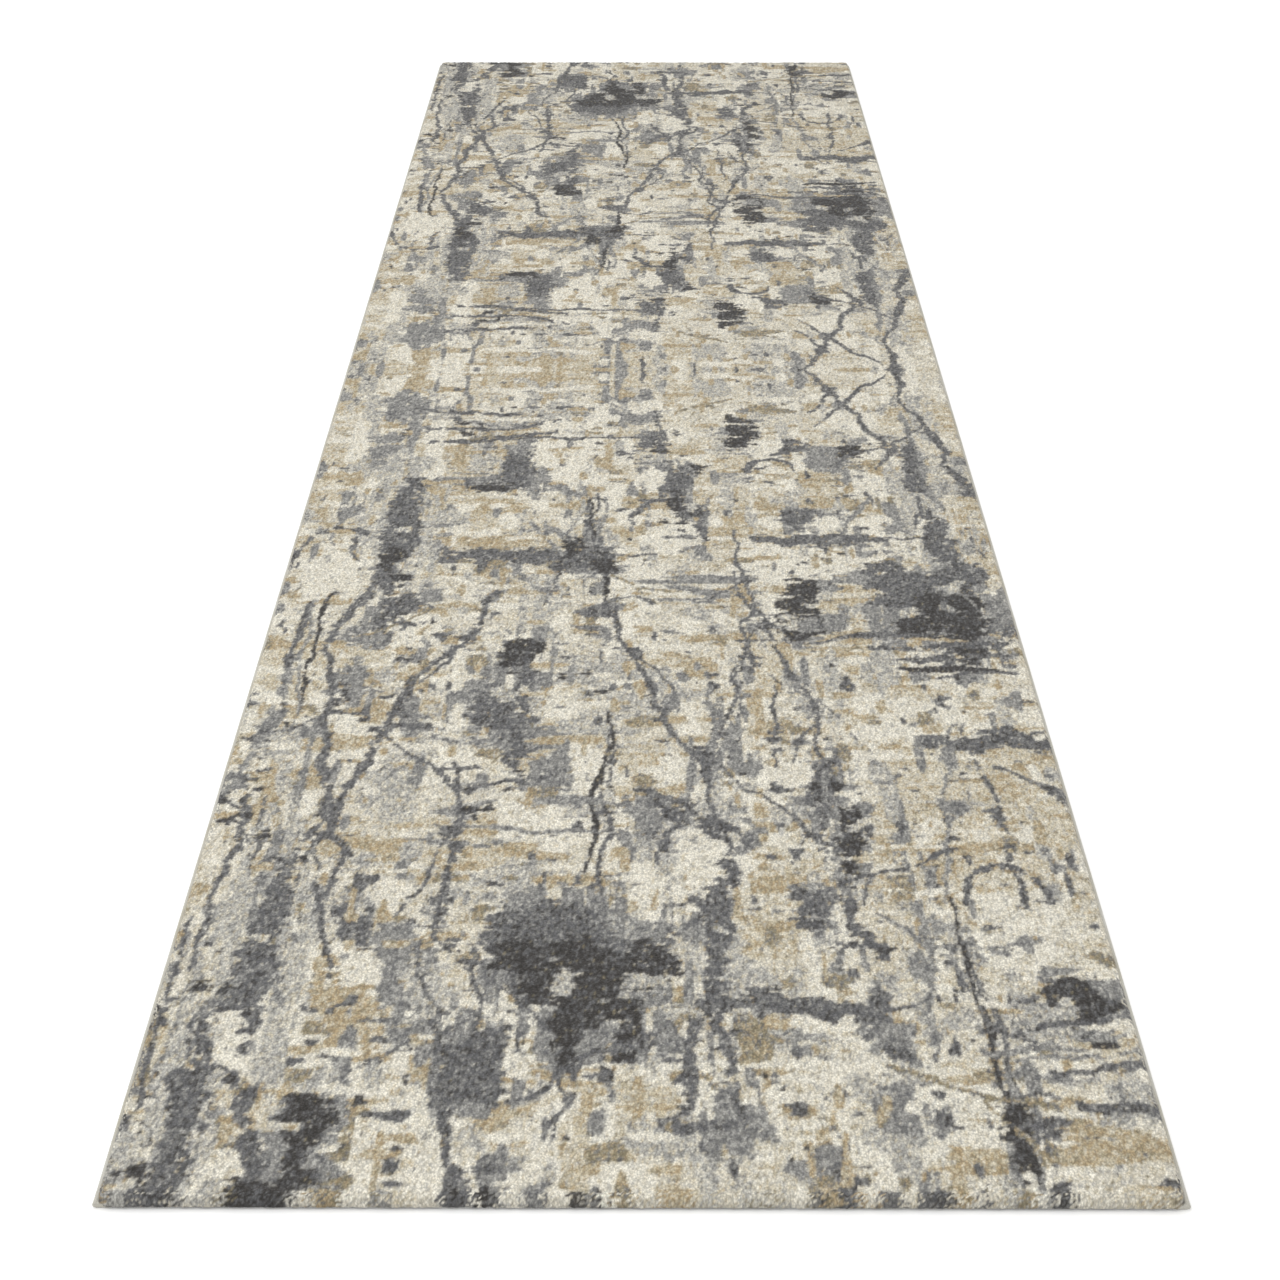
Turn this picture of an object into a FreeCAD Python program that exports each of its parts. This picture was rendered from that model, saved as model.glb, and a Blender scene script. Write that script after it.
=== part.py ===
import FreeCAD, Part
import os

import Sketcher

# A machine-woven cut-pile runner rug, lying flat.
#
# Origin: the middle of the underside. +X runs to the right-hand long edge, +Y along the rug to its
# far end, +Z up. All sizes are in millimetres.
#
# From the floor up: latex coat, lower weft, warps, upper weft, pile. Each long edge has a filler
# cord beside the cloth, overcast with a heavy yarn. Each cut end has a finer overlock, and whip
# stitches close the corners. A blank label is sewn into a shallow recess in the latex.

DIMENSIONS = [
    ("rug_length", 3000.0),
    ("rug_width", 800.0),
    ("latex_thick", 0.8),
    ("lower_weft_thick", 0.8),
    ("warp_thick", 0.6),
    ("upper_weft_thick", 0.8),
    ("pile_height", 9.0),
    ("pile_edge_round", 3.0),
    ("pile_corner_round", 4.0),
    ("warp_groups", 40),
    ("chain_width", 6.0),
    ("cord_radius", 1.6),
    ("serging_wrap", 1.1),
    ("serging_reach", 12.0),
    ("overlock_wall", 1.4),
    ("overlock_rise", 4.2),
    ("overlock_reach", 8.0),
    ("overlock_top_lip", 0.6),
    ("overlock_round", 1.2),
    ("label_length", 60.0),
    ("label_width", 40.0),
    ("label_thick", 0.4),
    ("label_clearance", 0.1),
    ("label_from_side", 70.0),
    ("label_from_end", 60.0),
    ("stitch_inset", 3.0),
    ("stitch_width", 0.8),
    ("stitch_depth", 0.2),
]

# Levels and outlines worked out from the driving dimensions.
LOWER_WEFT_Z = "dims.latex_thick"
WARP_Z = f"({LOWER_WEFT_Z} + dims.lower_weft_thick)"
UPPER_WEFT_Z = f"({WARP_Z} + dims.warp_thick)"
GROUND_TOP = f"({UPPER_WEFT_Z} + dims.upper_weft_thick)"

ROLL_RADIUS = "(dims.cord_radius + dims.serging_wrap)"
ROLL_X = f"(dims.rug_width / 2 - {ROLL_RADIUS})"
LIP_X = "(dims.rug_width / 2 - dims.serging_reach)"
GROUND_HALF_WIDTH = f"({ROLL_X} - dims.cord_radius)"
GROUND_HALF_LENGTH = "(dims.rug_length / 2 - dims.overlock_wall)"
GROUND_WIDTH = f"(2 * {GROUND_HALF_WIDTH})"
GROUND_LENGTH = f"(2 * {GROUND_HALF_LENGTH})"

# The pile starts just inside the rolled long edges and the overlock's top lip.
PILE_WIDTH = f"(2 * ({ROLL_X} - {ROLL_RADIUS}))"
PILE_LENGTH = f"(2 * ({GROUND_HALF_LENGTH} - dims.overlock_top_lip))"

# The latex fills the underside between the lips of the edge finishes.
LATEX_WIDTH = f"(2 * {LIP_X})"
LATEX_LENGTH = "(dims.rug_length - 2 * dims.overlock_reach)"

WARP_PITCH = f"(({GROUND_WIDTH} - dims.chain_width) / dims.warp_groups)"
STUFFER_WIDTH = f"({WARP_PITCH} - dims.chain_width)"

LABEL_X = "(dims.rug_width / 2 - dims.label_from_side)"
LABEL_Y = "(dims.label_from_end - dims.rug_length / 2)"

doc = FreeCAD.newDocument("runner_rug")
sheet = doc.addObject("Spreadsheet::Sheet", "dims")
for row, (alias, number) in enumerate(DIMENSIONS, start=1):
    sheet.set(f"A{row}", alias)
    sheet.set(f"B{row}", str(number))
    sheet.setAlias(f"B{row}", alias)
doc.recompute()

nodes = []


def value(expression):
    """The number that an expression in the sheet's dimensions comes to."""
    return float(sheet.evalExpression(expression))


def new_body(name, x="0", y="0", z="0", turn=0):
    """A body whose label names its file, moved by expressions and turned about Z in degrees."""
    body = doc.addObject("PartDesign::Body", name)
    body.Label = name
    body.Placement = FreeCAD.Placement(FreeCAD.Vector(), FreeCAD.Rotation(FreeCAD.Vector(0, 0, 1), turn))
    for axis, expression in zip("xyz", (x, y, z)):
        body.setExpression(f"Placement.Base.{axis}", expression)
    nodes.append(body)
    return body


def new_sketch(body, name, plane):
    """A sketch on one of the body's own origin planes."""
    sketch = body.newObject("Sketcher::SketchObject", f"{body.Name}_{name}")
    plane_object = next(item for item in body.Origin.OriginFeatures if item.Role == plane)
    sketch.AttachmentSupport = [(plane_object, "")]
    sketch.MapMode = "FlatFace"
    return sketch


def hold(sketch, axis, geometry, end, expression):
    """Fix one coordinate of a point, on the sketch's axis where the expression is 0."""
    if expression == "0":
        axis_line = -1 if axis == "Y" else -2
        sketch.addConstraint(Sketcher.Constraint("PointOnObject", geometry, end, axis_line))
        return
    constraint = Sketcher.Constraint(f"Distance{axis}", -1, 1, geometry, end, value(expression))
    index = sketch.addConstraint(constraint)
    sketch.setExpression(f"Constraints[{index}]", expression)


def add_outline(sketch, corners, arcs=None):
    """Draw a closed outline through corners, each a pair of expressions, counterclockwise or not.

    arcs maps a corner's index to the arc that leaves it: (centre, radius, turn), where the centre
    is a pair of expressions, the radius is one, and turn is 1 counterclockwise or -1 clockwise.
    """
    arcs = arcs or {}
    count = len(corners)
    points = [FreeCAD.Vector(value(x), value(y), 0) for x, y in corners]
    first_geometry = sketch.GeometryCount
    starts = []
    for index, point in enumerate(points):
        following = points[(index + 1) % count]
        if index not in arcs:
            sketch.addGeometry(Part.LineSegment(point, following))
            starts.append((1, 2))
            continue
        (centre_x, centre_y), radius, turn = arcs[index]
        centre = FreeCAD.Vector(value(centre_x), value(centre_y), 0)
        begin, finish = (point, following) if turn > 0 else (following, point)
        circle = Part.Circle(centre, FreeCAD.Vector(0, 0, 1), value(radius))
        arc = Part.ArcOfCircle(circle, circle.parameter(begin), circle.parameter(finish))
        sketch.addGeometry(arc)
        starts.append((1, 2) if turn > 0 else (2, 1))
    for index, (x, y) in enumerate(corners):
        geometry = first_geometry + index
        before = (index - 1) % count
        joint = Sketcher.Constraint(
            "Coincident", first_geometry + before, starts[before][1], geometry, starts[index][0])
        sketch.addConstraint(joint)
        hold(sketch, "X", geometry, starts[index][0], x)
        hold(sketch, "Y", geometry, starts[index][0], y)
    for index, (_, radius, _) in arcs.items():
        geometry = first_geometry + index
        number = sketch.addConstraint(Sketcher.Constraint("Radius", geometry, value(radius)))
        sketch.setExpression(f"Constraints[{number}]", radius)


def add_rectangle(sketch, width, length, x="0", y="0"):
    """Draw a rectangle of a width in X and a length in Y about a middle point."""
    left, right = f"({x}) - ({width}) / 2", f"({x}) + ({width}) / 2"
    low, high = f"({y}) - ({length}) / 2", f"({y}) + ({length}) / 2"
    add_outline(sketch, [(left, low), (right, low), (right, high), (left, high)])


def pad(body, sketch, name, length, symmetric=False):
    """Extrude a sketch along its normal, or half to each side."""
    feature = body.newObject("PartDesign::Pad", f"{body.Name}_{name}")
    feature.Profile = sketch
    if symmetric:
        feature.Midplane = True
    feature.setExpression("Length", length)
    return feature


def slab(name, width, length, thickness, z="0"):
    """One flat layer of the rug, centred on the origin."""
    body = new_body(name, z=z)
    sketch = new_sketch(body, "outline", "XY_Plane")
    add_rectangle(sketch, width, length)
    pad(body, sketch, "layer", thickness)
    return body


def recess(body, sketch, name, depth):
    """Cut a sketch on the underside upwards, and check that the body did lose material."""
    doc.recompute()
    before = body.Shape.Volume
    feature = body.newObject("PartDesign::Pocket", f"{body.Name}_{name}")
    feature.Profile = sketch
    feature.Reversed = True
    feature.setExpression("Length", depth)
    doc.recompute()
    if body.Shape.Volume >= before:
        raise RuntimeError(f"{feature.Name} cut nothing")


def warp_strips(name, width, first_x, occurrences):
    """Evenly spaced strips along the rug, each standing for one group of warp ends."""
    body = new_body(name, z=WARP_Z)
    body.AllowCompound = True
    sketch = new_sketch(body, "strip_outline", "XY_Plane")
    add_rectangle(sketch, width, GROUND_LENGTH, x=first_x)
    strip = pad(body, sketch, "strip", "dims.warp_thick")
    pattern = body.newObject("PartDesign::LinearPattern", f"{name}_pattern")
    pattern.Originals = [strip]
    pattern.Direction = (sketch, ["H_Axis"])
    pattern.setExpression("Length", f"({occurrences} - 1) * {WARP_PITCH}")
    pattern.setExpression("Occurrences", occurrences)
    body.Tip = pattern


def round_edges(body, name, radius, chosen):
    """Round the edges of the body's shape that a test picks out."""
    doc.recompute()
    base = body.Tip
    edges = [f"Edge{number}" for number, edge in enumerate(base.Shape.Edges, start=1) if chosen(edge)]
    feature = body.newObject("PartDesign::Fillet", f"{body.Name}_{name}")
    feature.Base = (base, edges)
    feature.setExpression("Radius", radius)


def make_pile():
    """The tuft field: upright corners first, then the softly rounded rim all round its top."""
    body = slab("pile", PILE_WIDTH, PILE_LENGTH, "dims.pile_height", z=GROUND_TOP)
    tall = value("dims.pile_height")
    round_edges(body, "corners", "dims.pile_corner_round",
                lambda edge: edge.BoundBox.ZLength > tall / 2)
    round_edges(body, "rim", "dims.pile_edge_round",
                lambda edge: edge.BoundBox.ZLength < tall / 2 and edge.BoundBox.ZMin > tall / 2)


def make_ground():
    """The woven ground cloth between pile and latex: two weft layers with the warps between."""
    slab("lower_weft", GROUND_WIDTH, GROUND_LENGTH, "dims.lower_weft_thick", z=LOWER_WEFT_Z)
    warp_strips("chain_warps", "dims.chain_width",
                f"dims.chain_width / 2 - {GROUND_HALF_WIDTH}", "dims.warp_groups + 1")
    warp_strips("stuffer_warps", STUFFER_WIDTH,
                f"dims.chain_width + {STUFFER_WIDTH} / 2 - {GROUND_HALF_WIDTH}", "dims.warp_groups")
    slab("upper_weft", GROUND_WIDTH, GROUND_LENGTH, "dims.upper_weft_thick", z=UPPER_WEFT_Z)


def make_latex():
    """The back coat, with the shallow recess that the sewn label presses into it."""
    body = slab("latex_size", LATEX_WIDTH, LATEX_LENGTH, "dims.latex_thick")
    sketch = new_sketch(body, "label_outline", "XY_Plane")
    add_rectangle(sketch, "dims.label_length", "dims.label_width", x=LABEL_X, y=LABEL_Y)
    recess(body, sketch, "label_recess", "dims.label_thick + dims.label_clearance")


def make_cord(name, turn):
    """The filler cord beside the cloth's long edge, as long as the cloth."""
    body = new_body(name, turn=turn)
    sketch = new_sketch(body, "section", "XZ_Plane")
    centre = FreeCAD.Vector(value(ROLL_X), value(ROLL_RADIUS), 0)
    sketch.addGeometry(Part.Circle(centre, FreeCAD.Vector(0, 0, 1), value("dims.cord_radius")))
    hold(sketch, "X", 0, 3, ROLL_X)
    hold(sketch, "Y", 0, 3, ROLL_RADIUS)
    number = sketch.addConstraint(Sketcher.Constraint("Radius", 0, value("dims.cord_radius")))
    sketch.setExpression(f"Constraints[{number}]", "dims.cord_radius")
    pad(body, sketch, "run", GROUND_LENGTH, symmetric=True)


def make_serging(name, turn):
    """The yarn sleeve: round the cord, over the cloth's edge, and back under it as a flat lip."""
    body = new_body(name, turn=turn)
    sketch = new_sketch(body, "section", "XZ_Plane")
    rise = f"({GROUND_TOP} - {ROLL_RADIUS})"
    outer_x = f"({ROLL_X} - sqrt({ROLL_RADIUS}^2 - {rise}^2))"
    inner_x = f"({ROLL_X} - sqrt(dims.cord_radius^2 - {rise}^2))"
    centre = (ROLL_X, ROLL_RADIUS)
    corners = [
        (LIP_X, "0"),
        (ROLL_X, "0"),
        (outer_x, GROUND_TOP),
        (inner_x, GROUND_TOP),
        (ROLL_X, "dims.serging_wrap"),
        (ROLL_X, "dims.latex_thick"),
        (LIP_X, "dims.latex_thick"),
    ]
    arcs = {1: (centre, ROLL_RADIUS, 1), 3: (centre, "dims.cord_radius", -1)}
    add_outline(sketch, corners, arcs)
    pad(body, sketch, "run", GROUND_LENGTH, symmetric=True)


def make_overlock(name, turn):
    """The finer yarn cover of a cut end: a flat lip below, a rounded wall, a short lip on top."""
    body = new_body(name, turn=turn)
    sketch = new_sketch(body, "section", "YZ_Plane")
    face = "(-dims.rug_length / 2)"
    wall = f"(-{GROUND_HALF_LENGTH})"
    top_lip = f"({wall} + dims.overlock_top_lip)"
    lip = f"({face} + dims.overlock_reach)"
    bend = f"({face} + dims.overlock_round)"
    shoulder = "(dims.overlock_rise - dims.overlock_round)"
    corners = [
        (lip, "dims.latex_thick"),
        (wall, "dims.latex_thick"),
        (wall, GROUND_TOP),
        (top_lip, GROUND_TOP),
        (top_lip, "dims.overlock_rise"),
        (bend, "dims.overlock_rise"),
        (face, shoulder),
        (face, "dims.overlock_round"),
        (bend, "0"),
        (lip, "0"),
    ]
    arcs = {
        5: ((bend, shoulder), "dims.overlock_round", 1),
        7: ((bend, "dims.overlock_round"), "dims.overlock_round", 1),
    }
    add_outline(sketch, corners, arcs)
    pad(body, sketch, "run", LATEX_WIDTH, symmetric=True)


def make_corner_whip(name, side, end):
    """The stitches over a corner, capping the serging's roll; side and end are 1 or -1."""
    middle = f"{end} * (dims.rug_length - dims.overlock_wall) / 2"
    body = new_body(name, y=middle)
    sketch = new_sketch(body, "section", "XZ_Plane")
    rise = f"(dims.overlock_rise - {ROLL_RADIUS})"
    shoulder = f"{side} * ({ROLL_X} - sqrt({ROLL_RADIUS}^2 - {rise}^2))"
    middle_x = f"{side} * {ROLL_X}"
    inner_x = f"{side} * {LIP_X}"
    corners = [(inner_x, "0"), (middle_x, "0"), (shoulder, "dims.overlock_rise"),
               (inner_x, "dims.overlock_rise")]
    add_outline(sketch, corners, {1: ((middle_x, ROLL_RADIUS), ROLL_RADIUS, side)})
    pad(body, sketch, "cap", "dims.overlock_wall", symmetric=True)


def make_label():
    """The blank woven label in its recess, with the groove that its sewing thread lies in."""
    thread_length = "dims.label_length - 2 * dims.stitch_inset"
    thread_width = "dims.label_width - 2 * dims.stitch_inset"

    def thread_outline(body):
        sketch = new_sketch(body, "thread_outline", "XY_Plane")
        add_rectangle(sketch, thread_length, thread_width)
        add_rectangle(sketch, f"{thread_length} - 2 * dims.stitch_width",
                      f"{thread_width} - 2 * dims.stitch_width")
        return sketch

    label = new_body("care_label", x=LABEL_X, y=LABEL_Y, z="dims.label_clearance")
    outline = new_sketch(label, "outline", "XY_Plane")
    add_rectangle(outline, "dims.label_length", "dims.label_width")
    pad(label, outline, "tape", "dims.label_thick")
    recess(label, thread_outline(label), "thread_groove", "dims.stitch_depth")

    stitching = new_body("label_stitching", x=LABEL_X, y=LABEL_Y, z="dims.label_clearance")
    pad(stitching, thread_outline(stitching), "thread", "dims.stitch_depth")


def check_and_export():
    """Stop on any failed object or bad shape, then write one file for each node."""
    doc.recompute()
    for item in doc.Objects:
        if "Invalid" in item.State or "Error" in item.State:
            raise RuntimeError(f"{item.Name} failed: {item.State}")
    for node in nodes:
        shape = node.Shape
        if shape.isNull() or not shape.isValid() or not shape.Solids:
            raise RuntimeError(f"{node.Label} has no valid solid")
    os.makedirs("parts", exist_ok=True)
    for node in nodes:
        node.Shape.exportStep(f"parts/{node.Label}.step")
        print(f"{node.Label}: {len(node.Shape.Solids)} solids, {node.Shape.Volume / 1000:.2f} cm3")


make_latex()
make_ground()
make_pile()
for side_name, side_turn in (("right", 0), ("left", 180)):
    make_cord(f"selvedge_cord_{side_name}", side_turn)
    make_serging(f"side_serging_{side_name}", side_turn)
for end_name, end_turn in (("near", 0), ("far", 180)):
    make_overlock(f"end_overlock_{end_name}", end_turn)
for end_name, end_sign in (("near", -1), ("far", 1)):
    for side_name, side_sign in (("left", -1), ("right", 1)):
        make_corner_whip(f"corner_whip_{end_name}_{side_name}", side_sign, end_sign)
make_label()
check_and_export()
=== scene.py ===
import math

import bpy
import numpy as np
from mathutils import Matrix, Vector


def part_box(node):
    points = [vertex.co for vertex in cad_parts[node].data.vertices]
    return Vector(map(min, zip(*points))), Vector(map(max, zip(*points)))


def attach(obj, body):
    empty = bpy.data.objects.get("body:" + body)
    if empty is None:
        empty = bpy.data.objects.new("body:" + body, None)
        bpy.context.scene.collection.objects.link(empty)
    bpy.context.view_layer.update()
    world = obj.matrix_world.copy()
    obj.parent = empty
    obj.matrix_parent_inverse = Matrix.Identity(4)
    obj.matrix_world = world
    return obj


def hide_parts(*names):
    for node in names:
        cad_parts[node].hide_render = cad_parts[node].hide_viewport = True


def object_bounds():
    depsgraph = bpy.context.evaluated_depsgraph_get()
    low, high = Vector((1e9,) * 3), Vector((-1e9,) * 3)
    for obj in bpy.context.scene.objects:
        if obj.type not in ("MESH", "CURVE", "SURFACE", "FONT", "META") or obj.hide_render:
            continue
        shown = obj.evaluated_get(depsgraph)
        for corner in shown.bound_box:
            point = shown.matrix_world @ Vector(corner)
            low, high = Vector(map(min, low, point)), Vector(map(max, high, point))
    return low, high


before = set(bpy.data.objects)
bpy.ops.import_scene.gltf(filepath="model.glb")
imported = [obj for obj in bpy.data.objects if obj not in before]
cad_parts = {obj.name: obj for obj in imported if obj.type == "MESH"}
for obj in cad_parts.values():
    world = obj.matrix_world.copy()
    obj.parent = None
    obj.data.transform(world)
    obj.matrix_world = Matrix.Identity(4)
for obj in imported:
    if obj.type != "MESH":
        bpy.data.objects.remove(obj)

# A cut-pile runner on a pale studio floor, in metres, in the frame of the CAD model.
# The design is painted tuft by tuft, as a loom's card is: u runs across the rug from its middle and
# v along it from mid-length to either end, both in millimetres. The far half mirrors the near half.

CAD_BOX = [list(corner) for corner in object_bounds()]
MM = 0.001


def ends_of(node):
    """A CAD node's lowest and highest corners, as arrays."""
    low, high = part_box(node)
    return np.array(low), np.array(high)


PILE_LOW, PILE_HIGH = ends_of("pile")
GROUND_TOP = ends_of("upper_weft")[1][2]
LATEX_LOW, LATEX_HIGH = ends_of("latex_size")
LABEL_LOW, LABEL_HIGH = ends_of("care_label")
NEAR_END = CAD_BOX[0][1]


# ---------------------------------------------------------------- camera, light and floor

def make_camera():
    """A camera at chest height, a step back from the near end, looking down along the rug."""
    aside, behind, height = 0.002, 1.104, 1.139
    look_down, turn = 30.74, 0.15
    data = bpy.data.cameras.new("camera")
    data.lens = 59.1
    data.sensor_width = 36.0
    camera = bpy.data.objects.new("camera", data)
    bpy.context.collection.objects.link(camera)
    camera.location = (aside, NEAR_END - behind, height)
    camera.rotation_euler = (math.radians(90 - look_down), 0, math.radians(turn))
    bpy.context.scene.camera = camera


def make_floor():
    """A plain pale floor, a hair below the rug."""
    reach, drop = 9.0, 0.0002
    corners = [(x * reach, y * reach, -drop) for x, y in ((-1, -1), (1, -1), (1, 1), (-1, 1))]
    floor = mesh_piece("floor", corners, [(0, 1, 2, 3)])
    material = bpy.data.materials.new("floor_paint")
    material.use_nodes = True
    shader = material.node_tree.nodes["Principled BSDF"]
    shader.inputs["Base Color"].default_value = (0.96, 0.96, 0.955, 1)
    shader.inputs["Roughness"].default_value = 0.9
    shader.inputs["Specular IOR Level"].default_value = 0.1
    floor.data.materials.append(material)


def make_light():
    """An even white surround with one large soft lamp overhead, left of the rug and nearer the camera."""
    scene = bpy.context.scene
    scene.view_settings.view_transform = "Standard"
    world = bpy.data.worlds.new("studio")
    scene.world = world
    world.use_nodes = True
    background = world.node_tree.nodes["Background"]
    background.inputs["Color"].default_value = (1, 1, 1, 1)
    background.inputs["Strength"].default_value = 0.93
    data = bpy.data.lights.new("softbox", "AREA")
    data.shape = "RECTANGLE"
    data.size, data.size_y = 3.0, 5.0
    data.energy = 66.0
    lamp = bpy.data.objects.new("softbox", data)
    bpy.context.collection.objects.link(lamp)
    lamp.location = (-1.1, -0.6, 3.2)
    tilt = -18
    lamp.rotation_euler = (0, math.radians(tilt), 0)


# ---------------------------------------------------------------- mesh and material helpers

def mesh_piece(name, points, *groups):
    """A linked mesh object from points in metres and groups of faces as rows of point numbers."""
    groups = [np.asarray(group, dtype=np.int32) for group in groups]
    sides = np.concatenate([np.full(len(group), group.shape[1], dtype=np.int32) for group in groups])
    mesh = bpy.data.meshes.new(name)
    mesh.vertices.add(len(points))
    mesh.vertices.foreach_set("co", np.asarray(points, dtype=np.float32).ravel())
    mesh.loops.add(int(sides.sum()))
    mesh.loops.foreach_set("vertex_index", np.concatenate([group.ravel() for group in groups]))
    mesh.polygons.add(len(sides))
    mesh.polygons.foreach_set("loop_start", np.cumsum(sides, dtype=np.int32) - sides)
    mesh.update(calc_edges=True)
    mesh.validate()
    piece = bpy.data.objects.new(name, mesh)
    bpy.context.collection.objects.link(piece)
    return piece


def grid_faces(rows, columns):
    """The quads of a grid of rows by columns points."""
    numbers = np.arange(rows * columns).reshape(rows, columns)
    a, b = numbers[:-1, :-1], numbers[:-1, 1:]
    c, d = numbers[1:, 1:], numbers[1:, :-1]
    return np.stack([a, b, c, d], axis=-1).reshape(-1, 4)


def smooth(piece):
    """Smooth shading all over."""
    piece.data.polygons.foreach_set("use_smooth", np.ones(len(piece.data.polygons), dtype=bool))


def place(piece, slot, *nodes):
    """Ride on the rug and stand for CAD nodes; slot is not used."""
    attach(piece, "root")
    if nodes:
        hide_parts(*nodes)


def noise(rng, shape, cell, octaves=1):
    """Smooth noise from -1 to 1 on a grid of tufts; cell is its grain in rows and columns."""
    total, weight, size = np.zeros(shape), 0.0, 1.0
    for _ in range(octaves):
        steps = [max(1.0, grain * size) for grain in cell]
        counts = [int(length / step) + 3 for length, step in zip(shape, steps)]
        lattice = rng.uniform(-1, 1, counts)
        for axis, (length, step) in enumerate(zip(shape, steps)):
            place_at = np.arange(length) / step
            low = place_at.astype(int)
            part = place_at - low
            part = part * part * (3 - 2 * part)
            part = part.reshape([-1, 1] if axis == 0 else [1, -1])
            lattice = (np.take(lattice, low, axis) * (1 - part)
                       + np.take(lattice, low + 1, axis) * part)
        total += lattice * size
        weight += size
        size /= 2
    return total / weight


# ---------------------------------------------------------------- the design, tuft by tuft

TUFT_U, TUFT_V = 1.8, 2.0

YARNS = {
    "ivory": (241, 236, 221),
    "cream": (222, 215, 197),
    "beige": (203, 192, 166),
    "tan": (178, 158, 123),
    "olive": (144, 134, 108),
    "silver": (185, 183, 176),
    "grey": (141, 140, 136),
    "slate": (101, 101, 102),
    "charcoal": (58, 55, 52),
}

# Each ground is the share of each yarn that the loom brings up there.
GROUNDS = {
    "ivory": {"ivory": 0.62, "cream": 0.28, "silver": 0.06, "beige": 0.04},
    "cream": {"ivory": 0.22, "cream": 0.50, "beige": 0.16, "silver": 0.10, "olive": 0.02},
    "sand": {"ivory": 0.08, "cream": 0.32, "beige": 0.42, "tan": 0.10, "silver": 0.06, "olive": 0.02},
    "tan": {"cream": 0.08, "beige": 0.36, "tan": 0.46, "olive": 0.10},
    "olive": {"beige": 0.12, "tan": 0.18, "olive": 0.46, "grey": 0.16, "slate": 0.08},
    "mist": {"ivory": 0.08, "cream": 0.22, "silver": 0.44, "grey": 0.20, "beige": 0.06},
    "grey": {"silver": 0.26, "grey": 0.54, "slate": 0.20},
    "slate": {"silver": 0.03, "grey": 0.25, "slate": 0.58, "charcoal": 0.14},
    "charcoal": {"grey": 0.03, "slate": 0.25, "olive": 0.02, "charcoal": 0.70},
}

GROUND_NUMBER = {name: number for number, name in enumerate(GROUNDS)}

# The kinds of mark in the order that they are laid, with how many of each there are and the stretch
# of the half-length, from 0 at mid-length to 1 at the end, that they are spread over.
PLAN = [
    ("field", 26, 0.00, 1.00),
    ("haze", 5, 0.30, 1.00),
    ("veil", 74, 0.00, 1.00),
    ("mottle", 1, 0.00, 1.00),
    ("thicket", 10, 0.02, 0.80),
    ("blocks", 32, 0.08, 0.98),
    ("trunk", 6, 0.04, 0.80),
    ("bar", 4, 0.06, 0.95),
    ("blotch", 2, 0.06, 0.94),
    ("arch", 8, 0.06, 0.94),
    ("terrace", 4, 0.10, 0.95),
    ("drips", 6, 0.04, 0.84),
    ("vein", 9, 0.06, 0.94),
    ("twig", 16, 0.04, 0.98),
    ("specks", 7, 0.05, 0.98),
]

# Broken patches all over: the ground, its grain along and across the rug in mm, how high its noise
# has to be, and how much that noise is raised at the end of the rug over mid-length.
MOTTLE = [
    ("tan", 16, 56, 0.30, 0.04),
    ("ivory", 44, 34, 0.30, 0.04),
    ("mist", 60, 26, 0.36, 0.10),
    ("grey", 46, 20, 0.44, 0.16),
    ("olive", 28, 28, 0.54, 0.22),
    ("slate", 32, 14, 0.57, 0.14),
    ("slate", 12, 26, 0.57, 0.18),
    ("charcoal", 11, 14, 0.74, 0.16),
    ("ivory", 16, 44, 0.42, 0.02),
    ("tan", 40, 14, 0.46, 0.00),
]


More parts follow.
